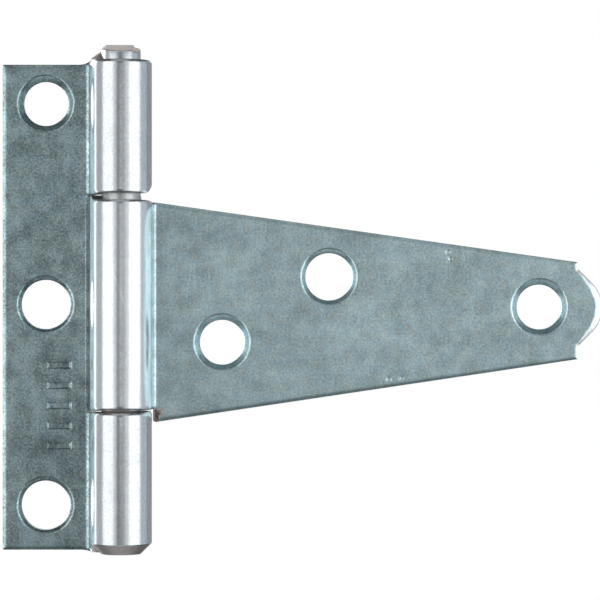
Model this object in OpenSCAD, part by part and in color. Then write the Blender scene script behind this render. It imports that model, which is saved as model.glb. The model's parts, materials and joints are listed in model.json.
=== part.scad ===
// T hinge: a short jamb leaf and a long tapered strap leaf, rolled from sheet round one plain pin.
// +X runs from the jamb leaf towards the strap's nose and +Z is up. The backs of both leaves lie on
// y = 0, and the barrel stands out in front of them, towards -Y. The origin is the centre of the
// jamb leaf's middle screw hole, on the back of the leaf.

/* [Sheet and barrel] */
// Thickness of the sheet that both leaves are pressed from
sheet_t = 1.75; // [1.5:0.05:1.9]
// Diameter of the pin
pin_d = 6.2; // [5.8:0.1:6.4]
// Radial clearance between the pin and the strap leaf's knuckle
running_clearance = 0.05; // [0.02:0.01:0.1]
// Inside radius of the bend where a leaf turns up towards its knuckles
bend_r = 0.6; // [0.6:0.1:1.2]
// Angle left open between the end of a knuckle's curl and the leaf, seen from the pin
seam_angle = 50; // [48:1:70]

/* [Jamb leaf] */
// Width of the jamb leaf, from its free edge to the pin's axis
jamb_w = 19; // [18:0.5:22]
// Height of the jamb leaf
jamb_h = 77; // [77:0.5:84]
// Distance from the pin's axis to the jamb leaf's screw holes
jamb_hole_x = 12.2; // [12:0.1:13]
// Distance between the jamb leaf's screw holes
jamb_pitch = 31.9; // [30:0.1:32.5]
// How far the screw holes sit above the middle of the jamb leaf
jamb_hole_rise = 0.45; // [0:0.05:0.6]
// Through diameters of the jamb leaf's three holes, from the lowest up
jamb_hole_d = [7.8, 7.8, 7];
// How far the ends of the two outer knuckles stand past the leaf's ends
knuckle_overhang = 0.3; // [0:0.1:0.5]

/* [Strap leaf] */
// Distance from the pin's axis to the tip of the nose
strap_l = 76.2; // [75:0.1:80]
// Width of the strap where it meets its knuckle
strap_root_w = 34.8; // [33.5:0.1:36]
// Width of the strap at the shoulders of its nose
strap_tip_w = 15.4; // [13.5:0.1:17]
// Height of the middle of the strap above the origin, at its root and at its nose
strap_z = [-1.25, -1];
// Places of the strap's three holes: along from the pin's axis, then height above the origin
strap_holes = [[15.8, -6], [32.8, 4.4], [66.2, -0.4]];
// Through diameters of the strap's three holes, from the root to the nose
strap_hole_d = [7.1, 7.5, 7.1];

/* [Knuckles] */
// Height of the strap leaf's middle knuckle
mid_knuckle_h = 33; // [32:0.1:33]
// Height of the middle of that knuckle above the origin
mid_knuckle_z = -0.1; // [-0.2:0.05:0]
// Gap above the middle knuckle
gap_above = 1; // [0.4:0.1:1.4]
// Gap below the middle knuckle
gap_below = 0.4; // [0.4:0.1:1.4]
// Height of the cone that the bottom knuckle's end is swaged to
swage_h = 1.7; // [1:0.1:1.7]

/* [Screw holes] */
// Diameter of a countersink at the front of the sheet
csk_d = 9.6; // [9:0.1:9.8]

/* [Nose] */
// Radius of the rounded nose
nose_r = 5.5; // [5:0.1:6]
// Height of the middle of the nose above the origin
nose_z = -0.5; // [-0.8:0.1:-0.2]
// Distance from the tip of the nose back to its square shoulders
nose_l = 3.9; // [3.6:0.1:4.2]

/* [Pin] */
// How far the front of the pin's sheared top end stands above the top knuckle
pin_stand = 0.9; // [0.5:0.1:2]
// Slope of the pin's sheared top end, lower at the front
pin_shear_angle = 16; // [0:1:20]

/* [Hidden] */
$fn = 96;
slack = 1;                                    // how far a cutting solid runs past what it cuts
zinc = [0.60, 0.64, 0.66];
pin_zinc = [0.72, 0.72, 0.72];

jamb_bore_r = pin_d / 2;                      // the jamb leaf grips the pin
strap_bore_r = pin_d / 2 + running_clearance; // the strap leaf turns on it
barrel_r = strap_bore_r + sheet_t;
pin_x = jamb_hole_x;
pin_y = -barrel_r;                            // the barrel's back just reaches the leaves' backs

jamb_mid_z = -jamb_hole_rise;
jamb_lo = jamb_mid_z - jamb_h / 2;
jamb_hi = jamb_mid_z + jamb_h / 2;
mid_lo = mid_knuckle_z - mid_knuckle_h / 2;
mid_hi = mid_knuckle_z + mid_knuckle_h / 2;
knuckle_lo = jamb_lo - knuckle_overhang;
knuckle_hi = jamb_hi + knuckle_overhang;

notch_x = 5.35;                               // the jamb leaf's edge beside the middle knuckle
heel_x = 5;                                   // the strap's edge beside the bottom knuckle
root_x = 5.5;                                 // where the strap's root width is measured
swage_margin = 8;                             // angle between the ends of the swage and the leaf
nose_inset = 0.1;                             // makes the nose's flanks cross its arc cleanly
shoulder_x = strap_l - nose_l;

// A leaf's cross-section through a knuckle, with the pin's axis at the origin, the leaf towards
// +X and its back at y = barrel_r. The sheet turns up square from the leaf, runs straight beside
// the pin and curls over the front, round to a seam at the back. It stops where the leaf is flat.
module rolled_section(bore_r) {
    outer_r = bore_r + sheet_t;
    bend_y = barrel_r - sheet_t - bend_r;
    difference() {
        circle(r = outer_r);
        circle(r = bore_r);
        polygon([
            [0, 0],
            [2 * outer_r, 0],
            [2 * outer_r, 2 * outer_r],
            [2 * outer_r * cos(seam_angle), 2 * outer_r * sin(seam_angle)]
        ]);
    }
    translate([bore_r, 0]) square([sheet_t, bend_y]);
    intersection() {
        translate([bend_x(bore_r), bend_y]) difference() {
            circle(r = bend_r + sheet_t);
            circle(r = bend_r);
        }
        translate([bore_r - slack, bend_y]) square(bend_r + sheet_t + slack);
    }
}

// Where the leaf becomes flat, from the pin's axis
function bend_x(bore_r) = bore_r + sheet_t + bend_r;

// The section above as a solid between two heights
module rolled(bore_r, lo, hi) {
    translate([0, 0, lo]) linear_extrude(height = hi - lo) rolled_section(bore_r);
}

// A plate of sheet thickness with its back on y = 0, from an outline in X and Z
module plate(points) {
    rotate([90, 0, 0]) linear_extrude(height = sheet_t) polygon(points);
}

// A screw hole along Y with its 90 degree countersink at the front of the sheet
module screw_hole(x, z, d) {
    cone_h = (csk_d - d) / 2;
    translate([x, 0, z]) rotate([90, 0, 0]) {
        translate([0, 0, -slack]) cylinder(d = d, h = sheet_t + 2 * slack);
        translate([0, 0, sheet_t - cone_h])
            cylinder(d1 = d, d2 = csk_d + 2 * slack, h = cone_h + slack);
    }
}

// What the swaged end takes off the bottom knuckle's curl: a ring with a triangular section, which
// starts in the open seam and stops just short of the leaf
module swage_cut() {
    from_angle = seam_angle - swage_margin;
    rotate([0, 0, from_angle])
        rotate_extrude(angle = 360 - swage_margin - from_angle)
            polygon([
                [barrel_r - swage_h - slack, knuckle_lo - slack],
                [barrel_r + slack, knuckle_lo + swage_h + slack],
                [barrel_r + slack, knuckle_lo - slack]
            ]);
}

module jamb_leaf() {
    flat_x = pin_x - bend_x(jamb_bore_r);
    color(zinc) difference() {
        union() {
            plate([
                [pin_x - jamb_w, jamb_lo],
                [flat_x, jamb_lo],
                [flat_x, mid_lo - gap_below],
                [pin_x - notch_x, mid_lo - gap_below],
                [pin_x - notch_x, mid_hi + gap_above],
                [flat_x, mid_hi + gap_above],
                [flat_x, jamb_hi],
                [pin_x - jamb_w, jamb_hi]
            ]);
            translate([pin_x, pin_y, 0]) mirror([1, 0, 0]) {
                rolled(jamb_bore_r, mid_hi + gap_above, knuckle_hi);
                rolled(jamb_bore_r, knuckle_lo, mid_lo - gap_below);
            }
        }
        translate([pin_x, pin_y, 0]) mirror([1, 0, 0]) swage_cut();
        for (i = [-1, 0, 1]) screw_hole(0, i * jamb_pitch, jamb_hole_d[i + 1]);
    }
}

// Height of the strap's lower edge (side -1) or upper edge (side 1), at x from the pin's axis
function strap_edge(x, side) =
    let (f = (x - root_x) / (shoulder_x - root_x))
    strap_z[0] + f * (strap_z[1] - strap_z[0])
    + side * (strap_root_w + f * (strap_tip_w - strap_root_w)) / 2;

// The nose, with its shoulders' plane at x = 0: 45 degree flanks running into an arc
module nose() {
    centre_x = nose_l - nose_r;
    flank = nose_r * cos(45) - nose_inset;    // where a flank ends inside the arc, from its centre
    root = 2 * nose_r * cos(45) + centre_x;
    rotate([90, 0, 0]) linear_extrude(height = sheet_t) {
        translate([centre_x, 0]) circle(r = nose_r);
        polygon([
            [-nose_r, 0],
            [0, -root],
            [centre_x + flank, -flank],
            [centre_x + flank, flank],
            [0, root]
        ]);
    }
}

module strap_leaf() {
    flat_x = bend_x(strap_bore_r);
    color(zinc) translate([pin_x, 0, 0]) difference() {
        union() {
            plate([
                [heel_x, strap_edge(heel_x, -1)],
                [shoulder_x, strap_edge(shoulder_x, -1)],
                [shoulder_x, strap_edge(shoulder_x, 1)],
                [flat_x, strap_edge(flat_x, 1)],
                [flat_x, mid_lo],
                [heel_x, mid_lo]
            ]);
            translate([shoulder_x, 0, nose_z]) nose();
            translate([0, pin_y, 0]) rolled(strap_bore_r, mid_lo, mid_hi);
        }
        // The strap's sloping top edge runs on across the knuckle until it meets the knuckle's end.
        rotate([90, 0, 0]) linear_extrude(height = 4 * barrel_r, center = true)
            polygon([
                [0, strap_edge(0, 1)],
                [flat_x, strap_edge(flat_x, 1)],
                [flat_x, mid_hi + slack],
                [0, mid_hi + slack]
            ]);
        for (i = [0 : len(strap_holes) - 1])
            screw_hole(strap_holes[i][0], strap_holes[i][1], strap_hole_d[i]);
    }
}

module hinge_pin() {
    blank_h = jamb_h + 10;
    color(pin_zinc) translate([pin_x, pin_y, 0]) difference() {
        translate([0, 0, knuckle_lo]) cylinder(d = pin_d, h = blank_h);
        translate([0, -pin_d / 2, knuckle_hi + pin_stand])
            rotate([pin_shear_angle, 0, 0])
                translate([-pin_d, -pin_d, 0]) cube([2 * pin_d, 4 * pin_d, blank_h]);
    }
}

jamb_leaf();
strap_leaf();
hinge_pin();
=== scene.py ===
# %% [markdown]
# # A zinc-plated T hinge
# The hinge is three pieces of steel: a short jamb leaf, a long tapered strap leaf and the pin that
# they turn on. Each leaf starts as a flat blank, sheared and pierced in a press, and its knuckles
# are then rolled round the pin. This script makes each leaf in the same order: a blank in flat
# sheet coordinates first, and then the roll.

# %% Load the frame
import json
import math

import bmesh
import bpy
import numpy as np
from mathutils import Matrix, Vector
from mathutils.geometry import delaunay_2d_cdt


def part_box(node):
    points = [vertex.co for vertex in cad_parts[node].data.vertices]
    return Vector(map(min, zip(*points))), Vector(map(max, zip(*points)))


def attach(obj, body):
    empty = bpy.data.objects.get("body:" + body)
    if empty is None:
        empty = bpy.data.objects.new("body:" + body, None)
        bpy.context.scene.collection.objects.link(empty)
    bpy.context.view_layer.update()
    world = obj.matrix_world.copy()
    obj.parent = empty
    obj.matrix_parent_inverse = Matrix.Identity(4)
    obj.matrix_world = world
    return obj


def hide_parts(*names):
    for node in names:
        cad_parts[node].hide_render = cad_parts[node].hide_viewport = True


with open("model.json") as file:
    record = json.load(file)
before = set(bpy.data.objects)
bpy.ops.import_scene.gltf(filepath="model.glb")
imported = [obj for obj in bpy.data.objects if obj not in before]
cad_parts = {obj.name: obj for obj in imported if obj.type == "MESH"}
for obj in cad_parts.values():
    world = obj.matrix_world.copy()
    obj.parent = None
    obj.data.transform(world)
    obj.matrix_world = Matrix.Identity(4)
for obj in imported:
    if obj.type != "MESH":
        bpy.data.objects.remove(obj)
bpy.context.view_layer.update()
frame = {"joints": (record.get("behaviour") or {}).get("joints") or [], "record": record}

# %% [markdown]
# ## Sizes
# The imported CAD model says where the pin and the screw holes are, so those are read from it. The
# outlines' own numbers are given where each leaf is made. The script works in millimetres and turns
# them into metres at the last moment, when a mesh is made.

# %% Sizes from the frame
MM = 1000
pin_x, pin_y = (v * MM for v in frame["joints"][0]["pos_m"][:2])
pin_box = [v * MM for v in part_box("hinge_pin")]
jamb_box = [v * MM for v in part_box("jamb_leaf")]
strap_box = [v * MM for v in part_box("strap_leaf")]
mounts = {m["name"]: m for m in frame["record"]["mounts"]}

barrel_r = -pin_y
pin_r = (pin_box[1].x - pin_box[0].x) / 2
clearance = 0.05
sheet_t = barrel_r - pin_r - clearance
jamb_roll, strap_roll = (pin_r, 1.0), (pin_r + clearance, 0.6)
print(f"pin at {pin_x:.2f}, {pin_y:.2f}, radius {pin_r:.2f}, sheet {sheet_t:.2f} thick")


def holes_of(leaf, side):
    """Each screw hole's place along the sheet from the pin, its height and its radius."""
    found = [m for name, m in mounts.items() if name.startswith(leaf + "_screw")]
    return [
        (side * (m["pos_m"][0] * MM - pin_x), m["pos_m"][2] * MM, m["dims"]["r_mm"])
        for m in found
    ]


jamb_holes, strap_holes = holes_of("jamb", -1), holes_of("strap", 1)
print("jamb holes", jamb_holes)
print("strap holes", strap_holes)

# %% [markdown]
# ## Camera
# The hinge is looked at square on, from the front, with the pin upright. The lens is long, so the
# two leaves keep their true outlines and only the barrel shows a little perspective.

# %% Camera
camera = bpy.data.objects.new("camera", bpy.data.cameras.new("camera"))
bpy.context.scene.collection.objects.link(camera)
camera.data.sensor_width = 36
camera.data.lens = 168
camera.location = (0.0404, -0.4461, 0.0007)
camera.rotation_euler = (math.pi / 2, 0, 0)
camera.data.clip_start, camera.data.clip_end = 0.01, 20
bpy.context.scene.camera = camera
bpy.context.scene.view_settings.view_transform = "Standard"
print("camera lens", camera.data.lens)

# %% [markdown]
# ## How a sheet rolls
# A point of a blank has three numbers: s, how far it lies along the sheet from the pin; z, its
# height; and n, how far it lies through the sheet from the back. Where s is large the leaf is flat.
# Closer in, the sheet turns up through a quarter circle, runs straight beside the pin and then
# curls round it. One function of s and n gives that whole path, for both leaves.

# %% The roll


def roll(s, n, rolled):
    """Sheet coordinates to x and y round the pin, with the leaf towards +x and its back at barrel_r.

    Measured on the middle of the sheet, the path is a straight line, then a quarter circle of
    radius bend_r plus half the sheet, then a short wall, then a circle about the pin. The point
    is the path's point plus n - sheet_t / 2 along the path's outward normal. rolled holds the
    knuckle's bore radius and the inside radius of the bend.
    """
    bore_r, bend_r = rolled
    bend_x, bend_y = bore_r + sheet_t + bend_r, barrel_r - sheet_t - bend_r
    bend_mid, curl_mid = bend_r + sheet_t / 2, bore_r + sheet_t / 2
    u = bend_x - s
    wall_at = bend_mid * math.pi / 2
    curl_at = wall_at + bend_y
    a = np.clip(u / bend_mid, 0, math.pi / 2)
    b = np.clip((u - curl_at) / curl_mid, 0, None)
    flat, wall = np.minimum(u, 0), np.clip(u - wall_at, 0, bend_y)
    nx, ny = np.sin(a), -np.cos(a)
    nx, ny = nx * np.cos(b) + ny * np.sin(b), ny * np.cos(b) - nx * np.sin(b)
    x = bend_x - flat - bend_mid * np.sin(a)
    y = barrel_r - sheet_t / 2 - bend_mid * (1 - np.cos(a)) - wall
    curled = b > 0
    x = np.where(curled, curl_mid * np.cos(b), x)
    y = np.where(curled, -curl_mid * np.sin(b), y)
    out = n - sheet_t / 2
    return x + out * nx, y + out * ny


def flat_start(rolled):
    """The s at which the bend begins, at the end of the flat."""
    return sum(rolled) + sheet_t


def curl_start(rolled):
    """The s at which the curl begins, at the end of the straight wall."""
    bore_r, bend_r = rolled
    bend_x, bend_y = bore_r + sheet_t + bend_r, barrel_r - sheet_t - bend_r
    return bend_x - (bend_r + sheet_t / 2) * math.pi / 2 - bend_y


def around(rolled, degrees):
    """The s at which the curl has turned that many degrees round the pin."""
    return curl_start(rolled) - (rolled[0] + sheet_t / 2) * math.radians(degrees)


def tail(rolled, seam_deg=50):
    """The s of the end of the curl, which stops seam_deg short of a full turn."""
    return around(rolled, 360 - seam_deg)


print(f"strap blank runs from s = {tail(strap_roll):.2f} to {strap_box[1].x - pin_x:.2f}")

# %% [markdown]
# ## Outlines
# A blank's outline is straight sheared edges with small rounded corners, and one arc at the nose.
# It is given as its corners, each with a radius, and resampled to an even step, so that the same
# points can carry the sheared edge and bound the sheet's two faces.

# %% Outlines


def rounded(corners, step=0.25):
    """A closed outline from (s, z, radius) corners: each corner is an arc that touches both sides."""
    points = []
    count = len(corners)
    for i, (s, z, r) in enumerate(corners):
        here = np.array([s, z])
        before = np.array(corners[i - 1][:2]) - here
        after = np.array(corners[(i + 1) % count][:2]) - here
        before, after = before / np.linalg.norm(before), after / np.linalg.norm(after)
        half = math.acos(np.clip(before @ after, -1, 1)) / 2
        if r <= 0 or half > math.radians(89):
            points.append(here[None])
            continue
        reach = r / math.tan(half)
        middle = (before + after) / np.linalg.norm(before + after)
        centre = here + middle * r / math.sin(half)
        start, end = here + before * reach - centre, here + after * reach - centre
        turn = math.atan2(start[0] * end[1] - start[1] * end[0], start @ end)
        a = np.linspace(0, turn, max(3, int(abs(turn) * r / step * 2) + 3))
        cos, sin = np.cos(a), np.sin(a)
        arc = np.stack([start[0] * cos - start[1] * sin, start[0] * sin + start[1] * cos], 1)
        points.append(centre + arc)
    path = np.concatenate(points)
    return resampled(path, step)


def resampled(path, step):
    """Adds evenly spaced points along each side of a closed path that is longer than step."""
    ends = np.roll(path, -1, 0)
    length = np.linalg.norm(ends - path, axis=1)
    parts = np.maximum(1, np.ceil(length / step)).astype(int)
    side = np.repeat(np.arange(len(path)), parts)
    first = np.repeat(np.cumsum(parts) - parts, parts)
    f = (np.arange(parts.sum()) - first) / parts[side]
    return path[side] + (ends - path)[side] * f[:, None]


def inward(loop):
    """Unit normals of an anticlockwise closed loop, pointing to its inside."""
    along = np.roll(loop, -1, 0) - np.roll(loop, 1, 0)
    normal = np.stack([-along[:, 1], along[:, 0]], 1)
    return normal / np.linalg.norm(normal, axis=1, keepdims=True)


def distance(points, loop):
    """Distance from each point to a closed loop, the least over its straight sides."""
    side = np.roll(loop, -1, 0) - loop
    long = (side**2).sum(1)
    found = []
    for part in np.array_split(points, max(1, len(points) // 2000)):
        to = part[:, None] - loop[None]
        f = np.clip((to * side).sum(2) / long, 0, 1)
        found.append(np.sqrt(((to - f[..., None] * side) ** 2).sum(2)).min(1))
    return np.concatenate(found)


def inside(points, loop):
    """True for the points inside a closed loop, by counting the sides that a level line crosses."""
    ends = np.roll(loop, -1, 0)
    found = []
    for part in np.array_split(points, max(1, len(points) // 2000)):
        x, y = part[:, :1], part[:, 1:]
        above = (loop[:, 1] > y) != (ends[:, 1] > y)
        rise = np.where(ends[:, 1] == loop[:, 1], 1, ends[:, 1] - loop[:, 1])
        cross = (ends[:, 0] - loop[:, 0]) * (y - loop[:, 1]) / rise + loop[:, 0]
        found.append((above & (x < cross)).sum(1) % 2 == 1)
    return np.concatenate(found)


print("a square with 2 mm corners has", len(rounded([(0, 0, 2), (9, 0, 2), (9, 9, 2), (0, 9, 2)])), "points")

# %% [markdown]
# ## The blank's front face
# Shearing drags the front edge of the sheet down a little before it cuts, so every edge has a soft
# roll-over that catches the light. The front face is a height over the sheet: full thickness, less
# a drop that depends on the distance to the nearest edge. The nose is dragged down furthest.

# %% Edge roll-over


def smooth_step(x, low, high):
    """0 below low, 1 above high, and a smooth curve between."""
    f = np.clip((x - low) / (high - low), 0, 1)
    return f * f * (3 - 2 * f)


def mixed(a, b, f):
    """a where f is 0 and b where f is 1."""
    return a + (b - a) * f


class Edge:
    """The roll-over's width and depth in millimetres, and how sharply it starts."""

    width, depth, power = 0.7, 0.2, 2.2
    nose_width, shoulder_width, nose_slope, nose_power = 1.25, 0.45, 0.42, 1.1


def edge_drop(points, loop, nose_s):
    """depth * (1 - distance / width) ** power, with the nose's own values past nose_s."""
    nose = smooth_step(points[:, 0], nose_s - 0.3, nose_s + 0.1)
    past_shoulder = smooth_step(points[:, 0], nose_s, nose_s + 3.7)
    nose_width = mixed(Edge.shoulder_width, Edge.nose_width, past_shoulder)
    width = mixed(Edge.width, nose_width, nose)
    depth = mixed(Edge.depth, Edge.nose_slope * nose_width, nose)
    power = mixed(Edge.power, Edge.nose_power, nose)
    return depth * np.clip(1 - distance(points, loop) / width, 0, 1) ** power


print(f"an edge rolls over {Edge.width} mm wide and {Edge.depth} mm deep")

# %% [markdown]
# ## Filling a face
# A face of the blank is the area inside the outline and outside the holes. Constrained Delaunay
# triangulation fills it and keeps every edge that it is given. Rows of points beside the edges
# carry the roll-over, and closely spaced lines of points stand where the sheet will be rolled.

# %% Face filling


def rows_beside(loop, depths):
    """The loop moved inwards by each depth, less the points where two rows would cross."""
    normal = inward(loop)
    rows = []
    for d in depths:
        row = loop + normal * d
        keep = inside(row, loop)
        keep &= distance(row, loop) > 0.97 * d
        rows.append(row[keep])
    return np.concatenate(rows)


hole_sides = 96


def circle(s, z, r, count=hole_sides):
    """An anticlockwise circle of points."""
    a = np.linspace(0, 2 * math.pi, count, endpoint=False)
    return np.stack([s + r * np.cos(a), z + r * np.sin(a)], 1)


def lattice(low, high, steps):
    """Points at every crossing of evenly spaced lines between two corners."""
    s = np.linspace(low[0], high[0], max(2, int((high[0] - low[0]) / steps[0]) + 1))
    z = np.linspace(low[1], high[1], max(2, int((high[1] - low[1]) / steps[1]) + 1))
    grid = np.meshgrid(s, z, indexing="ij")
    return np.stack([g.ravel() for g in grid], 1)


inside_outline = 1


def filled(loop, hole_loops, extra, clear=0.08):
    """Triangulates between the outline and the holes: points (m, 2) and anticlockwise triangles.

    The triangulation itself leaves out what lies outside the outline, because the thin triangles
    along a straight side can't be judged by where they lie. What fills a hole is judged that way.
    """
    keep = inside(extra, loop) & (distance(extra, loop) > clear)
    for ring in hole_loops:
        keep &= ~inside(extra, ring) & (distance(extra, ring) > clear)
    loops = [loop, *hole_loops]
    points = np.concatenate([*loops, extra[keep]])
    edges, first = [], 0
    for ring in loops:
        index = np.arange(len(ring))
        edges.append(first + np.stack([index, (index + 1) % len(ring)], 1))
        first += len(ring)
    edges = np.concatenate(edges)
    made = delaunay_2d_cdt(points.tolist(), edges.tolist(), [], inside_outline, 1e-7)
    flat = np.array([tuple(v) for v in made[0]])
    tris = np.array(made[2])
    middle = flat[tris].mean(1)
    good = np.ones(len(tris), bool)
    for ring in hole_loops:
        good &= ~inside(middle, ring)
    tris = tris[good]
    a, b, c = (flat[tris[:, k]] for k in range(3))
    turn = (b - a)[:, 0] * (c - a)[:, 1] - (b - a)[:, 1] * (c - a)[:, 0]
    tris[turn < 0] = tris[turn < 0][:, ::-1]
    return flat, tris


def band(rows):
    """Triangles of a surface carried along closed rings: rows (k, m) of point numbers."""
    a, b = rows[:-1], rows[1:]
    c, d = np.roll(b, -1, 1), np.roll(a, -1, 1)
    quads = np.stack([a, b, c, d], -1).reshape(-1, 4)
    return np.concatenate([quads[:, [0, 1, 2]], quads[:, [0, 2, 3]]])


print("a screw hole has", hole_sides, "sides")

# %% [markdown]
# ## From blank to leaf
# The leaf is closed from four kinds of surface: the front face, the back face, the sheared edge,
# which is a short profile carried along the outline, and each screw hole, which is a profile turned
# about the hole's axis. All of them are points in sheet coordinates, so one call to the roll takes
# the whole leaf to its final shape. The sheet coordinates stay on the mesh as an attribute, for
# finishes that follow the sheet.

# %% Leaf surfaces


def hole_profile(hole_r, csk_r=4.45, soft=0.6):
    """(radius, n) pairs down a screw hole: a soft rim, a 45 degree cone, then the straight wall."""
    a = np.radians(np.linspace(0, 45, 8))
    reach = soft * math.tan(math.radians(22.5))
    rim_r = csk_r + reach - soft * np.sin(a)
    rim_n = sheet_t - soft * (1 - np.cos(a))
    throat_n = sheet_t - (csk_r - hole_r)
    r = [*rim_r, hole_r + 0.12, hole_r + 0.04, hole_r, hole_r, hole_r + 0.02, hole_r + 0.07]
    n = [*rim_n, throat_n + 0.12, throat_n + 0.01, throat_n - 0.1, 0.15, 0.05, 0]
    return np.array(r), np.array(n)


def cut_mark(points, marks):
    """Depth of the coined bars: a smooth-sided box of each (s, z, half length, half width)."""
    depth = np.zeros(len(points))
    for s, z, half_s, half_z in marks:
        bar = smooth_step(half_s - np.abs(points[:, 0] - s), -0.15, 0.15)
        bar *= smooth_step(half_z - np.abs(points[:, 1] - z), -0.15, 0.15)
        depth = np.maximum(depth, 0.2 * bar)
    return depth


def nick_depth(points, nicks):
    """Round-bottomed dents: depth * (1 - (distance / radius) ** 2) ** 2 for each (s, z, radius)."""
    depth = np.zeros(len(points))
    for s, z, r in nicks:
        far = np.hypot(points[:, 0] - s, points[:, 1] - z) / r
        depth = np.maximum(depth, 0.16 * r * np.clip(1 - far**2, 0, 1) ** 2)
    return depth


def leaf_surface(loop, holes, rolled_to, nose_s=1000.0, marks=(), nicks=(), swage=None):
    """A whole leaf in sheet coordinates: points (m, 3) of s, z, n, triangles, and a mask of torn and swaged
    steel.
    """
    flat_s = flat_start(rolled_to) + 0.2
    low, high = loop.min(0), loop.max(0)
    row_depths = Edge.width * np.array([0.08, 0.18, 0.3, 0.45, 0.62, 0.8, 1])
    nose_depths = Edge.nose_width * np.array([0.06, 0.16, 0.27, 0.36, 0.5, 0.7, 0.9, 1, 1.1])
    rows = rows_beside(loop, row_depths)
    nose_rows = rows_beside(loop, nose_depths)
    nose_rows = nose_rows[nose_rows[:, 0] > nose_s - 0.5]
    rolled = lattice(low, (flat_s, high[1]), (0.24, 0.8))
    plain = lattice((flat_s + 1.2, low[1]), high, (2.4, 2.4))
    extra = [rows[rows[:, 0] < nose_s + 0.2], nose_rows]
    rolled = rolled[distance(rolled, loop) > Edge.width * 1.05]
    plain = plain[distance(plain, loop) > Edge.nose_width * 1.1]
    extra += [rolled, plain]
    for s, z, half_s, half_z in marks:
        low_corner = (s - half_s - 0.2, z - half_z - 0.2)
        high_corner = (s + half_s + 0.2, z + half_z + 0.2)
        extra.append(lattice(low_corner, high_corner, (0.09, 0.09)))
    for s, z, r in nicks:
        extra.append(lattice((s - r, z - r), (s + r, z + r), (0.1, 0.1)))
    if swage:
        extra.append(lattice((low[0], low[1]), (flat_s, low[1] + 2.4), (0.24, 0.17)))
    profiles = [hole_profile(r) for _, _, r in holes]
    tops = [circle(s, z, p[0][0]) for (s, z, _), p in zip(holes, profiles)]
    bottoms = [circle(s, z, p[0][-1]) for (s, z, _), p in zip(holes, profiles)]

    extra += [circle(s, z, p[0][0] + d) for (s, z, _), p in zip(holes, profiles) for d in (0.12, 0.4, 1)]
    front, front_tris = filled(loop, tops, np.concatenate(extra))
    drop = edge_drop(front, loop, nose_s) + cut_mark(front, marks) + nick_depth(front, nicks)
    rim_drop = edge_drop(loop, loop, nose_s) + nick_depth(loop, nicks)
    if swage:
        drop = np.maximum(drop, swage(front))
        rim_drop = np.maximum(rim_drop, swage(loop))
    beside = [circle(s, z, p[0][-1] + d) for (s, z, _), p in zip(holes, profiles) for d in (0.12, 0.4, 1)]
    back_extra = np.concatenate([rolled, plain, rows_beside(loop, (0.17, 0.4, 0.9)), *beside])
    back, back_tris = filled(loop + inward(loop) * 0.05, bottoms, back_extra)
    parts = [np.column_stack([front, sheet_t - drop]), np.column_stack([back, 0 * back[:, 0]])]
    tris = [front_tris, len(front) + back_tris[:, ::-1]]
    swaged = smooth_step(swage(front), 0.05, 0.2) if swage else np.zeros(len(front))
    torn_and_shade = [swaged, np.zeros(len(back))]
    total = len(front) + len(back)

    depth = np.array([0, 0.25, 0.5, 0.75, 0.93, 1])
    inset = np.array([0, 0, 0.01, 0.02, 0.02, 0.05])
    wall = [
        np.column_stack([loop + inward(loop) * i, (sheet_t - rim_drop) * (1 - d)])
        for d, i in zip(depth, inset)
    ]
    parts.append(np.concatenate(wall))
    numbers = total + np.arange(len(depth) * len(loop)).reshape(len(depth), -1)
    tris.append(band(numbers))
    torn_and_shade.append(np.ones(numbers.size))
    total += numbers.size

    for (s, z, _), (r, n) in zip(holes, profiles):
        rings = [np.column_stack([circle(s, z, a), np.full(hole_sides, b)]) for a, b in zip(r, n)]
        parts.append(np.concatenate(rings))
        numbers = total + np.arange(len(r) * hole_sides).reshape(len(r), hole_sides)
        tris.append(band(numbers[::-1]))
        wall_rings = np.arange(len(r)) >= len(r) - 3
        torn_and_shade.append(np.repeat(wall_rings.astype(float), hole_sides))
        total += numbers.size
    return np.concatenate(parts), np.concatenate(tris), np.concatenate(torn_and_shade)


def burnish(sheet, rolled):
    """1 on the rolled knuckle and 0 on the flat, with a ramp across the bend."""
    return 1 - smooth_step(sheet[:, 0], curl_start(rolled), flat_start(rolled) + 0.4)


def new_piece(name, points, tris, body, attributes=None):
    """Makes a mesh in metres, welds the seams between its surfaces and rides it on its body."""
    mesh = bpy.data.meshes.new(name)
    mesh.from_pydata((points / MM).tolist(), [], tris.tolist())
    for key, values in (attributes or {}).items():
        kind = "FLOAT_VECTOR" if values.ndim == 2 else "FLOAT"
        field = "vector" if values.ndim == 2 else "value"
        mesh.attributes.new(key, kind, "POINT").data.foreach_set(field, values.ravel())
    work = bmesh.new()
    work.from_mesh(mesh)
    bmesh.ops.remove_doubles(work, verts=work.verts, dist=2e-6)
    bmesh.ops.recalc_face_normals(work, faces=work.faces)
    open_edges = sum(1 for e in work.edges if len(e.link_faces) != 2)
    work.to_mesh(mesh)
    work.free()
    mesh.polygons.foreach_set("use_smooth", np.ones(len(mesh.polygons), bool))
    mesh.set_sharp_from_angle(angle=math.radians(32))
    piece = bpy.data.objects.new(name, mesh)
    bpy.context.scene.collection.objects.link(piece)
    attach(piece, body)
    print(f"{name}: {len(mesh.polygons)} faces, {open_edges} open edges")
    return piece


print("a screw hole's profile has", len(hole_profile(jamb_holes[0][2])[0]), "rings")

# %% [markdown]
# ## Strap leaf
# The long leaf tapers from its knuckle to a nose with square shoulders. Below the knuckle a heel of
# the blank stays behind when the knuckle is rolled, which leaves a small step.

# %% Strap leaf
strap_flat = flat_start(strap_roll)
nose_tip = strap_box[1].x - pin_x
nose_s = nose_tip - 3.9
knuckle_lo, knuckle_hi = -16.6, 16.4
root_lo, root_hi, tip_lo, tip_hi = -18.65, 16.15, -8.7, 6.7
heel_s, nose_z, nose_r = 5.0, -0.5, 5.5


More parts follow.
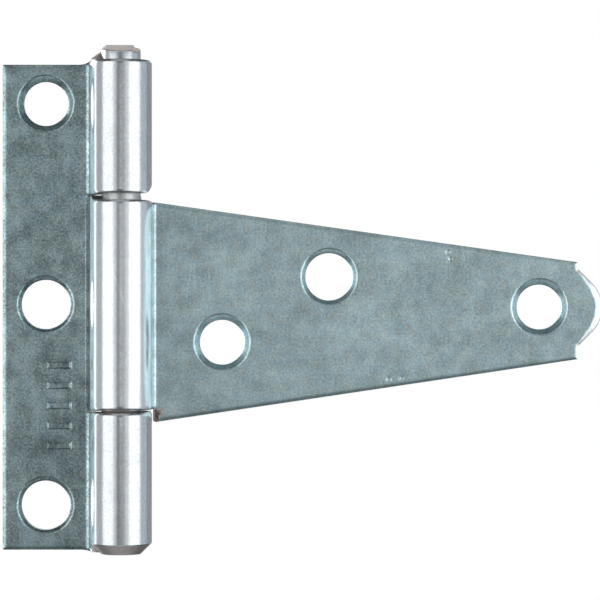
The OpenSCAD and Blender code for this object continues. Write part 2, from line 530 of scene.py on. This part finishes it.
def strap_outline():
    """Straight sheared sides, and a nose of two 45 degree flanks that run into an arc."""
    flank = nose_r * math.cos(math.pi / 4)
    centre = nose_tip - nose_r
    root = 2 * flank + centre - nose_s
    slope_hi = (tip_hi - root_hi) / (nose_s - 5.5)
    slope_lo = (tip_lo - root_lo) / (nose_s - 5.5)
    a = np.radians(np.linspace(-45, 45, 40))
    arc = [(centre + nose_r * math.cos(v), nose_z + nose_r * math.sin(v), 0) for v in a]
    end = tail(strap_roll)
    ease = 2.2
    return rounded([
        (heel_s, root_lo + slope_lo * (heel_s - 5.5), 0.25),
        (nose_s, tip_lo, 0.2),
        (nose_s, nose_z - root, 0.3),
        *arc,
        (nose_s, nose_z + root, 0.3),
        (nose_s, tip_hi, 0.2),
        (strap_flat, root_hi + slope_hi * (strap_flat - 5.5), 3),
        (strap_flat - 3.26 - ease - 3, knuckle_hi, 3),
        (around(strap_roll, 152), knuckle_hi, 2),
        (around(strap_roll, 178), knuckle_hi + 0.8, 2),
        (end, knuckle_hi + 0.85, 0.3),
        (end, knuckle_lo - 0.15, 0.3),
        (around(strap_roll, 160), knuckle_lo - 0.15, 2),
        (around(strap_roll, 130), knuckle_lo, 2),
        (heel_s, knuckle_lo, 0.12),
    ])


strap_loop = strap_outline()
print("strap outline", len(strap_loop), "points")
nicks = [(51.7, 8.3, 0.6), (52.1, 7.2, 0.5), (42.3, -11.9, 0.6), (44.4, -11.7, 0.5)]
sheet, tris, torn_and_shade = leaf_surface(strap_loop, strap_holes, strap_roll, nose_s, nicks=nicks)
s, z, n = sheet.T
# Painted shade: the heel under the knuckle, which the bottom knuckle shades, is drawn darker, warmer and
# rougher.
heel_shade, nose_dullness = 2.8, 1.5
heel = (s < strap_flat + 0.3) & (z < knuckle_lo - 0.1) & (s > heel_s - 0.5)
torn_and_shade = np.maximum(torn_and_shade, heel_shade * heel)
skin = (s > nose_s + 0.1) & (n > sheet_t / 2) & (distance(sheet[:, :2], strap_loop) < 0.12)
torn_and_shade = np.maximum(torn_and_shade, nose_dullness * skin)
x, y = roll(sheet[:, 0], sheet[:, 2], strap_roll)
points = np.column_stack([pin_x + x, pin_y + y, sheet[:, 1]])
bevel = (s > nose_s - 0.3) & (n < sheet_t - 0.02) & (n > sheet_t / 2) & (torn_and_shade < 0.5)
tip_hole_s, tip_hole_z, _ = strap_holes[2]
clear_of_hole = np.hypot(s - tip_hole_s, z - tip_hole_z) > 5.2
polish_and_shade = np.maximum(burnish(sheet, strap_roll), 0.9 * (bevel & clear_of_hole))
strap_marks = {"sheet": sheet / MM, "torn_and_shade": torn_and_shade, "polish_and_shade": polish_and_shade}
strap = new_piece("strap_plate", points, tris, "strap", strap_marks)
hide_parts("strap_leaf")

# %% [markdown]
# ## Jamb leaf
# The short leaf is a rectangle with a notch, where the strap's knuckle turns. Two knuckles are
# rolled from what is left above and below the notch. The lower end of the bottom knuckle is swaged
# inwards to a cone, which holds the pin. A column of plain bars is coined into the leaf where a
# maker would put a mark.

# %% Jamb leaf
jamb_edge = pin_x - jamb_box[0].x
jamb_lo, jamb_hi = -38.95, 38.05
tab_lo, tab_hi = jamb_box[0].z, jamb_box[1].z
notch_s, notch_lo, notch_hi = 5.35, -17.0, 17.4
swage_h = 1.7


def jamb_outline():
    """A rectangle with its knuckle side stepped, and a notch with round inner corners."""
    flat = flat_start(jamb_roll)
    end = tail(jamb_roll)
    return rounded([
        (jamb_edge, jamb_lo, 0.25),
        (jamb_edge, jamb_hi, 0.25),
        (flat + 0.5, jamb_hi, 2),
        (flat - 2, tab_hi, 2),
        (end, tab_hi, 0.3),
        (end, notch_hi + 1, 0.3),
        (around(jamb_roll, 178), notch_hi + 0.9, 2),
        (around(jamb_roll, 152), notch_hi, 3),
        (notch_s, notch_hi, 0.8),
        (notch_s, notch_lo, 0.8),
        (around(jamb_roll, 130), notch_lo, 2),
        (around(jamb_roll, 160), notch_lo + 0.15, 2),
        (end, notch_lo + 0.15, 0.3),
        (end, tab_lo, 0.3),
        (flat - 2, tab_lo, 2),
        (flat + 0.5, jamb_lo, 2),
    ])


def swage(points):
    """Drop of the swaged end: one millimetre for each millimetre nearer the end, on the curl only."""
    wall_s = curl_start(jamb_roll)
    on_curl = 1 - smooth_step(points[:, 0], wall_s + 1.2, wall_s + 2.8)
    return np.clip(tab_lo + swage_h - points[:, 1], 0, swage_h - 0.02) * on_curl


def turned_up(sheet):
    """Lifts the top rim where it leaves the leaf: most at the pin's side of the sheet.

    The lift is a smooth hump along s, from the flat to a little way round the curl, times a ramp
    up the last 1.5 mm of height, times a straight fall from the inner face to the outer face.
    """
    s, z, n = sheet.T
    wall_s = curl_start(jamb_roll)
    lip = smooth_step(s, wall_s - 2.6, wall_s - 0.4) * (1 - smooth_step(s, wall_s + 1.6, wall_s + 5))
    swell = smooth_step(s, wall_s - 0.9, wall_s + 1) * (1 - smooth_step(s, wall_s + 2.2, wall_s + 6.4))
    lift = 1.2 * lip * (1 - n / sheet_t) + 0.45 * swell
    lifted = sheet.copy()
    lifted[:, 1] += lift * smooth_step(z, jamb_hi - 1.8, jamb_hi)
    return lifted


bars = [(10, z, 1.8, 0.5) for z in np.linspace(-22.4, -9.6, 5)]
jamb_loop = jamb_outline()
print("jamb outline", len(jamb_loop), "points")
sheet, tris, torn_and_shade = leaf_surface(jamb_loop, jamb_holes, jamb_roll, marks=bars, swage=swage)
sheet = turned_up(sheet)
lip = (sheet[:, 1] > tab_hi + 0.1) & (sheet[:, 2] < sheet_t - 0.05)
lip_dullness = 1.8
torn_and_shade = np.maximum(torn_and_shade, lip_dullness * lip)
x, y = roll(sheet[:, 0], sheet[:, 2], jamb_roll)
points = np.column_stack([pin_x - x, pin_y + y, sheet[:, 1]])
jamb_marks = {"sheet": sheet / MM, "torn_and_shade": torn_and_shade, "polish_and_shade": burnish(sheet, jamb_roll)}
jamb = new_piece("jamb_plate", points, tris, "jamb", jamb_marks)
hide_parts("jamb_leaf")

# %% [markdown]
# ## Pin
# The pin is a length of wire, sheared to length. The shears leave a slanting, torn face at the top
# with a small step, and the bottom is held flush in the swaged knuckle.

# %% Pin


def pin_surface(count=128):
    """A wire: rings of radius r at height z, closed at the top by a slanting face.

    The height of the top face is a plane that rises to the back, less a step on one side and a
    bevel on the other. The rings from the centre out share one formula in angle and radius.
    """
    a = np.linspace(0, 2 * math.pi, count, endpoint=False)
    low, high = pin_box[0].z, pin_box[1].z
    rise = (high - 40.15 + 0.92) / (2 * pin_r)

    def top(x, y):
        plane = np.minimum(high, high + 0.5 - rise * (pin_r - y))
        step = 0.5 * smooth_step(x, 1.7, 2.3)
        bevel = 0.5 * np.clip(-x - 2.3, 0, None)
        return plane - step - bevel - 0.06 * smooth_step(np.hypot(x, y), pin_r - 0.25, pin_r)

    rings = []
    for r, z in ((0.0, low), (0.4, low), (0.8, low), (0.96, low), (1, low + 0.15)):
        rings.append(np.column_stack([pin_r * r * np.cos(a), pin_r * r * np.sin(a), 0 * a + z]))
    for f in (0.02, 0.25, 0.5, 0.75, 0.9, 0.97):
        z = mixed(low + 0.15, high - 2.4, f)
        rings.append(np.column_stack([pin_r * np.cos(a), pin_r * np.sin(a), 0 * a + z]))
    for r in (1, 0.985, 0.95, 0.88, 0.8, 0.7, 0.6, 0.5, 0.35, 0.2, 0):
        x, y = pin_r * r * np.cos(a), pin_r * r * np.sin(a)
        rings.append(np.column_stack([x, y, top(x, y) - 0.08 * (r == 1)]))
    points = np.concatenate(rings)
    numbers = np.arange(len(points)).reshape(len(rings), count)
    tris = band(numbers[::-1])
    first, second, third = (points[tris[:, k]] for k in range(3))
    area = np.linalg.norm(np.cross(second - first, third - first), axis=1)
    return points + [pin_x, pin_y, 0], tris[area > 1e-9]


# What stands out of the top knuckle is fully polished. Below it the pin is drawn duller and darker as
# painted shade from the knuckles, darkest in the lowest gap.
points, tris = pin_surface()
shown = smooth_step(points[:, 2], 37.5, 38.5)
low_gap_shade = 1 - smooth_step(points[:, 2], -20, 0)
pin_marks = {"polish_and_shade": mixed(0.5, 1, shown), "torn_and_shade": 0.6 * (1 - shown) + 1.6 * low_gap_shade}
pin = new_piece("pin_wire", points, tris, "jamb", pin_marks)
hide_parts("hinge_pin")

print("pin from", round(pin_box[0].z, 2), "to", round(pin_box[1].z, 2))

# %% [markdown]
# ## Zinc finish
# Bright zinc plating, passivated, is a metal with a faint blue-green cast. Two effects are shared by
# the leaves and the pin, so each is a node group. The first is the mottle: cloudy patches, a few
# millimetres across, where the bath left the zinc duller or brighter, with fine dark speckle on top.
# The second is the grain: long faint rolling lines and short handling scratches.

# %% Shared effects


def effect(name, outputs):
    """A node group that takes a position and puts out the given values and colours."""
    group = bpy.data.node_groups.new(name, "ShaderNodeTree")
    group.interface.new_socket("Position", in_out="INPUT", socket_type="NodeSocketVector")
    for key, kind in outputs:
        group.interface.new_socket(key, in_out="OUTPUT", socket_type=kind)
    return group, group.nodes.new("NodeGroupInput"), group.nodes.new("NodeGroupOutput")


def stretched(tree, source, scale):
    """A Mapping node that multiplies a position by scale."""
    node = tree.nodes.new("ShaderNodeMapping")
    node.inputs["Scale"].default_value = scale
    tree.links.new(source, node.inputs["Vector"])
    return node.outputs["Vector"]


def noise(tree, source, scale, detail=3.0, rough=0.5):
    """A noise texture's value at a position already in metres."""
    node = tree.nodes.new("ShaderNodeTexNoise")
    node.inputs["Scale"].default_value = scale
    node.inputs["Detail"].default_value = detail
    node.inputs["Roughness"].default_value = rough
    tree.links.new(source, node.inputs["Vector"])
    return node


def ranged(tree, value, low, high, out_low=0.0, out_high=1.0):
    """Maps low..high to out_low..out_high, held at both ends."""
    node = tree.nodes.new("ShaderNodeMapRange")
    for key, number in zip(("From Min", "From Max", "To Min", "To Max"), (low, high, out_low, out_high)):
        node.inputs[key].default_value = number
    tree.links.new(value, node.inputs["Value"])
    return node.outputs["Result"]


def sums(tree, operation, a, b):
    """One arithmetic step between two values or a value and a number."""
    node = tree.nodes.new("ShaderNodeMath")
    node.operation = operation
    for socket, value in zip(node.inputs, (a, b)):
        if isinstance(value, (int, float)):
            socket.default_value = value
        else:
            tree.links.new(value, socket)
    return node.outputs["Value"]


def tinted(tree, mask, low, high):
    """A colour between low and high by a mask."""
    node = tree.nodes.new("ShaderNodeMix")
    node.data_type = "RGBA"
    node.inputs[6].default_value, node.inputs[7].default_value = (*low, 1), (*high, 1)
    tree.links.new(mask, node.inputs[0])
    return node.outputs[2]


def blended(tree, mask, base, over):
    """A linked colour turned towards a fixed one by a mask."""
    node = tree.nodes.new("ShaderNodeMix")
    node.data_type = "RGBA"
    node.inputs[7].default_value = (*over, 1)
    tree.links.new(mask, node.inputs[0])
    tree.links.new(base, node.inputs[6])
    return node.outputs[2]


def make_mottle():
    """Tone from three sizes of noise added together, and a slow drift of hue."""
    outputs = [("Tone", "NodeSocketFloat"), ("Tint", "NodeSocketColor")]
    group, entry, leave = effect("zinc mottle", outputs)
    place = entry.outputs["Position"]
    cloud = ranged(group, noise(group, place, 110, 4).outputs["Fac"], 0.3, 0.7)
    patch = ranged(group, noise(group, place, 420, 4, 0.6).outputs["Fac"], 0.3, 0.7)
    speck = ranged(group, noise(group, place, 2900, 2, 0.7).outputs["Fac"], 0.3, 0.7)
    tone = sums(group, "ADD", sums(group, "MULTIPLY", cloud, 0.25), sums(group, "MULTIPLY", patch, 0.3))
    tone = sums(group, "ADD", tone, sums(group, "MULTIPLY", speck, 0.45))
    hue = ranged(group, noise(group, place, 900, 3, 0.7).outputs["Fac"], 0.36, 0.64)
    group.links.new(tone, leave.inputs["Tone"])
    group.links.new(tinted(group, hue, (0.42, 0.59, 0.64), (0.49, 0.61, 0.61)), leave.inputs["Tint"])
    return group


def make_grain():
    """Noise squeezed along the sheet makes rolling lines; thin slices of bent noise make scratches."""
    outputs = [("Lines", "NodeSocketFloat"), ("Scratches", "NodeSocketFloat")]
    group, entry, leave = effect("zinc grain", outputs)
    place = entry.outputs["Position"]
    lines = noise(group, stretched(group, place, (1, 1, 0.03)), 1400, 2)
    group.links.new(ranged(group, lines.outputs["Fac"], 0.3, 0.7), leave.inputs["Lines"])
    total = None
    for turn, scale in ((0.3, 190), (1.9, 150), (2.6, 230)):
        node = group.nodes.new("ShaderNodeMapping")
        node.inputs["Rotation"].default_value = (0, turn, turn)
        node.inputs["Scale"].default_value = (1, 1, 0.06)
        group.links.new(place, node.inputs["Vector"])
        value = noise(group, node.outputs["Vector"], scale, 1).outputs["Fac"]
        away = sums(group, "ABSOLUTE", sums(group, "SUBTRACT", value, 0.56), 0)
        line = ranged(group, away, 0.0, 0.0035, 1.0, 0.0)
        total = line if total is None else sums(group, "MAXIMUM", total, line)
    gate = ranged(group, noise(group, place, 130, 1).outputs["Fac"], 0.5, 0.62)
    group.links.new(sums(group, "MULTIPLY", total, gate), leave.inputs["Scratches"])
    return group


mottle, grain = make_mottle(), make_grain()
print("groups", mottle.name, grain.name)

# %% [markdown]
# ## The finishes
# The jamb leaf, the strap leaf and the pin share one zinc finish, each with its own brightness.
# Where the sheet was rolled round the pin the tool has burnished it, so the barrel is smoother and
# brighter than the flats: a mesh attribute says where. On the pin that attribute is lower below the
# top knuckle, which is painted shade. Pierced and sheared walls are torn steel under the same
# plating, so a second attribute makes them duller and warmer: 1 on a plain wall. It is raised as
# painted shade on the strap's heel under the knuckle and on the pin in the knuckle gaps, and it is
# also raised on the nose's sheared edge and on the jamb's turned-up lip. The pin's torn top is bare
# steel, nearly matt, and so it has a finish of its own.

# %% Materials


def attribute_mask(tree, name):
    """The value of one of the mesh's own attributes."""
    node = tree.nodes.new("ShaderNodeAttribute")
    node.attribute_name = name
    return node.outputs["Fac"]


def zinc(name, roughness, tone):
    """Zinc over steel. tone is the least and greatest brightness of the mottle.

    Burnish calms the mottle and makes it smoother and brighter; torn steel makes it darker, warmer
    and rougher. Both attributes also carry painted shade, on the strap's heel and on the pin below
    its top knuckle.
    """
    material = bpy.data.materials.new(name)
    material.use_nodes = True
    tree = material.node_tree
    shader = tree.nodes["Principled BSDF"]
    shader.inputs["Metallic"].default_value = 1
    where = tree.nodes.new("ShaderNodeTexCoord").outputs["Object"]
    spots, lines = tree.nodes.new("ShaderNodeGroup"), tree.nodes.new("ShaderNodeGroup")
    spots.node_tree, lines.node_tree = mottle, grain
    for node in (spots, lines):
        tree.links.new(where, node.inputs["Position"])
    value = ranged(tree, spots.outputs["Tone"], 0.25, 0.75, *tone)
    # torn holds torn steel and painted shade (the strap's heel, the pin in the knuckle gaps); it darkens,
    # warms and roughens the zinc.
    mask, torn = attribute_mask(tree, "polish_and_shade"), attribute_mask(tree, "torn_and_shade")
    calm = sums(tree, "SUBTRACT", 1.0, sums(tree, "MULTIPLY", mask, 0.75))
    value = sums(tree, "ADD", sums(tree, "MULTIPLY", sums(tree, "SUBTRACT", value, 1.0), calm), 1.0)
    value = sums(tree, "MULTIPLY", value, ranged(tree, lines.outputs["Lines"], 0, 1, 0.97, 1.03))
    value = sums(tree, "ADD", value, sums(tree, "MULTIPLY", lines.outputs["Scratches"], 0.25))
    rough = sums(tree, "ADD", sums(tree, "MULTIPLY", spots.outputs["Tone"], -0.1), roughness + 0.05)
    rough = sums(tree, "SUBTRACT", rough, sums(tree, "MULTIPLY", mask, roughness * 0.3))
    rough = sums(tree, "ADD", rough, sums(tree, "MULTIPLY", torn, 0.25))
    value = sums(tree, "ADD", value, sums(tree, "MULTIPLY", mask, 0.22))
    value = sums(tree, "SUBTRACT", value, sums(tree, "MULTIPLY", torn, 0.2))
    tint = spots.outputs["Tint"]
    tint = blended(tree, sums(tree, "MULTIPLY", mask, 0.85), tint, (0.60, 0.615, 0.64))
    tint = blended(tree, sums(tree, "MULTIPLY", torn, 0.8), tint, (0.62, 0.57, 0.55))
    colour = tree.nodes.new("ShaderNodeVectorMath")
    colour.operation = "SCALE"
    tree.links.new(tint, colour.inputs[0])
    tree.links.new(value, colour.inputs["Scale"])
    tree.links.new(colour.outputs["Vector"], shader.inputs["Base Color"])
    tree.links.new(rough, shader.inputs["Roughness"])
    bump = tree.nodes.new("ShaderNodeBump")
    bump.inputs["Strength"].default_value = 0.12
    bump.inputs["Distance"].default_value = 0.00008
    tree.links.new(spots.outputs["Tone"], bump.inputs["Height"])
    tree.links.new(bump.outputs["Normal"], shader.inputs["Normal"])
    return material


def sheared_steel():
    """The wire's torn end: bare grey-brown steel, nearly matt, with fine tearing."""
    material = bpy.data.materials.new("sheared_steel")
    material.use_nodes = True
    tree = material.node_tree
    shader = tree.nodes["Principled BSDF"]
    where = tree.nodes.new("ShaderNodeTexCoord").outputs["Object"]
    torn = noise(tree, stretched(tree, where, (1, 0.35, 1)), 2600, 3, 0.6).outputs["Fac"]
    colour = tinted(tree, ranged(tree, torn, 0.35, 0.65), (0.62, 0.56, 0.53), (0.88, 0.8, 0.76))
    tree.links.new(colour, shader.inputs["Base Color"])
    shader.inputs["Metallic"].default_value = 0.45
    shader.inputs["Roughness"].default_value = 0.55
    bump = tree.nodes.new("ShaderNodeBump")
    bump.inputs["Strength"].default_value = 0.4
    bump.inputs["Distance"].default_value = 0.0001
    tree.links.new(torn, bump.inputs["Height"])
    tree.links.new(bump.outputs["Normal"], shader.inputs["Normal"])
    return material


jamb.data.materials.append(zinc("jamb_zinc", 0.28, (0.42, 1.3)))
strap.data.materials.append(zinc("strap_zinc", 0.3, (0.87, 1.58)))
pin.data.materials.append(zinc("pin_zinc", 0.3, (1.0, 1.3)))
pin.data.materials.append(sheared_steel())
facing = np.zeros(len(pin.data.polygons) * 3)
pin.data.polygons.foreach_get("normal", facing)
pin.data.polygons.foreach_set("material_index", (np.abs(facing[2::3]) > 0.5).astype(int))

print("finishes", [m.name for leaf in (jamb, strap, pin) for m in leaf.data.materials])

# %% [markdown]
# ## Studio
# Large soft boxes stand round the hinge with a dark gap about the camera. The flats mirror the
# gap, so they look dark, and the barrel mirrors the boxes as bright upright bands. The boxes are
# far enough off that the bands keep their places along the whole hinge. The two cards in front are
# faint, and lift the flats a little. A low card lights the cone at the foot of the barrel.

# %% Lights


def soft_box(name, bearings, brightness, colour=(1, 1, 1), low_high=(-28, 28), far=1.5):
    """A rectangle of light between two bearings, in degrees from the camera's side of the pin.

    low_high is its least and greatest elevation, also in degrees.
    """
    low, high = (math.radians(b) for b in bearings)
    width = 2 * far * math.tan((high - low) / 2)
    floor_e, ceiling_e = (math.radians(e) for e in low_high)
    height = 2 * far * math.tan((ceiling_e - floor_e) / 2)
    light = bpy.data.lights.new(name, "AREA")
    light.shape = "RECTANGLE"
    light.size, light.size_y = width, height
    light.color = colour
    light.energy = brightness * math.pi * width * height
    lamp = bpy.data.objects.new(name, light)
    bpy.context.scene.collection.objects.link(lamp)
    a, e = (low + high) / 2, (floor_e + ceiling_e) / 2
    away = Vector((math.sin(a) * math.cos(e), -math.cos(a) * math.cos(e), math.sin(e)))
    lamp.location = Vector((pin_x / MM, 0, 0)) + away * far
    lamp.rotation_euler = away.to_track_quat("Z", "Y").to_euler()
    lamp.visible_camera = False
    return lamp


soft_box("left_box", (-68, -25), 1.3)
soft_box("left_edge", (-25, -13), 0.55)
soft_box("left_fill", (-104, -66), 0.38)
soft_box("back_left", (-158, -104), 2.1)
soft_box("right_edge", (10, 22), 0.36)
soft_box("right_step", (20, 33), 0.65)
soft_box("right_box", (33, 79), 1.4)
soft_box("right_fill", (79, 116), 0.5, (0.85, 0.93, 1))
soft_box("back_right", (118, 170), 0.25)
soft_box("front_card", (-22, 13), 0.13, low_high=(-10, 18))
soft_box("strap_card", (-2, 8), 0.5, (1, 0.95, 0.94), low_high=(-5, 6))
soft_box("front_top", (-30, 30), 0.3, low_high=(30, 62))
soft_box("back_top", (160, 200), 1.25, low_high=(12, 50))
soft_box("under_card", (-40, 40), 0.4, low_high=(-104, -64), far=0.6)

world = bpy.data.worlds.new("studio")
bpy.context.scene.world = world
world.use_nodes = True
nodes, links = world.node_tree.nodes, world.node_tree.links
nodes.clear()
output = nodes.new("ShaderNodeOutputWorld")
seen = nodes.new("ShaderNodeBackground")
seen.inputs["Color"].default_value = (1, 1, 1, 1)
room = nodes.new("ShaderNodeBackground")
room.inputs["Color"].default_value = (0.1, 0.105, 0.11, 1)
chooser = nodes.new("ShaderNodeMixShader")
path = nodes.new("ShaderNodeLightPath")
links.new(path.outputs["Is Camera Ray"], chooser.inputs[0])
links.new(room.outputs[0], chooser.inputs[1])
links.new(seen.outputs[0], chooser.inputs[2])
links.new(chooser.outputs[0], output.inputs[0])

print("lamps", len(bpy.data.lights))

# %% [markdown]
# ## Floor
# A plain pale floor lies well below the hinge, out of the camera's sight. The zinc doesn't mirror
# it, so its edges leave no line on the metal. The lamp called under_card, which is just above the
# floor, lights the undersides instead.

# %% Floor
floor_mesh = bpy.data.meshes.new("floor")
grid = lattice((-0.9, -0.9), (0.9, 0.9), (0.3, 0.3))
side = int(math.sqrt(len(grid)))
numbers = np.arange(len(grid)).reshape(side, side)
quads = np.stack([numbers[:-1, :-1], numbers[1:, :-1], numbers[1:, 1:], numbers[:-1, 1:]], -1)
floor_points = np.column_stack([grid, np.full(len(grid), -0.72)])
floor_mesh.from_pydata(floor_points.tolist(), [], quads.reshape(-1, 4).tolist())
floor = bpy.data.objects.new("floor", floor_mesh)
bpy.context.scene.collection.objects.link(floor)
pale = bpy.data.materials.new("floor_paper")
pale.use_nodes = True
pale.node_tree.nodes["Principled BSDF"].inputs["Base Color"].default_value = (0.8, 0.8, 0.8, 1)
pale.node_tree.nodes["Principled BSDF"].inputs["Roughness"].default_value = 0.8
floor_mesh.materials.append(pale)
floor.visible_glossy = False
print("floor", len(floor_mesh.polygons), "squares")
